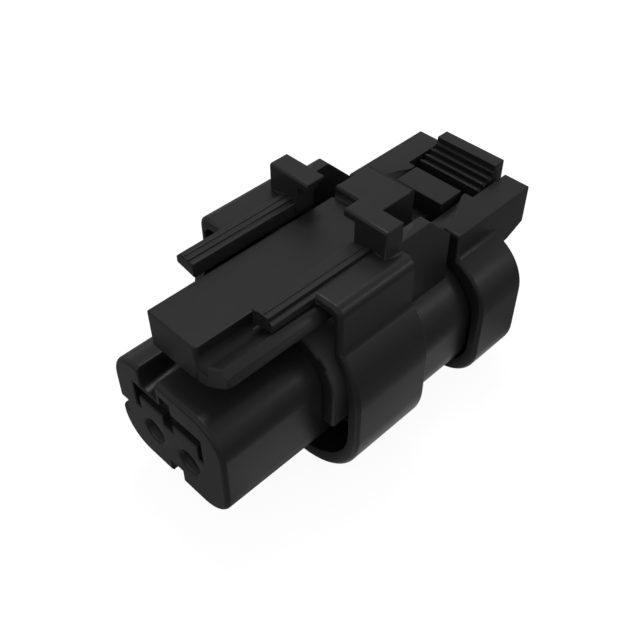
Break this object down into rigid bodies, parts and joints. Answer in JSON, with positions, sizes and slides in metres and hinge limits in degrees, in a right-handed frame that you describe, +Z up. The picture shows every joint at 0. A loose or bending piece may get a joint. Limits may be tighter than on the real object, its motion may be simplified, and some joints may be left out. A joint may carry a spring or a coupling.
{
  "type": "two-pin connector plug",
  "caption": "Sealed two-pin connector plug: oval nose with contact ports, shroud, latch arm with side wing, guard rails, rear cover with wire entries and ribbed position lock.",
  "frame": {"origin": "middle of the plug's length and width, at the height of the flat underside of the shroud", "axes": "+X across the plug, to the right seen from the rear; -Y the way the nose points; +Z up, towards the latch arm"},
  "size_m": [0.023, 0.0422, 0.0259],
  "materials": {
    "housing_plastic": "satin moulded",
    "cover_plastic": "satin moulded",
    "lock_plastic": "satin moulded",
    "seal_rubber": "matt",
    "contact_metal": "tin-plated, dull"
  },
  "bodies": {
    "plug": {"housing": "housing_plastic", "seal_retainer": "cover_plastic", "interface_seal": "seal_rubber", "contact_left": "contact_metal", "contact_right": "contact_metal", "wire_seal": "seal_rubber", "rear_cover": "cover_plastic"},
    "front_lock": {"terminal_lock": "lock_plastic"},
    "slider": {"position_lock": "lock_plastic"}
  },
  "joints": [
    {"name": "terminal_lock_slide", "type": "slide", "parent": "plug", "child": "front_lock", "axis": [0, -1, 0], "range_m": [0, 0.0015]},
    {"name": "position_lock_slide", "type": "slide", "parent": "plug", "child": "slider", "axis": [0, 1, 0], "range_m": [0, 0.003]}
  ]
}
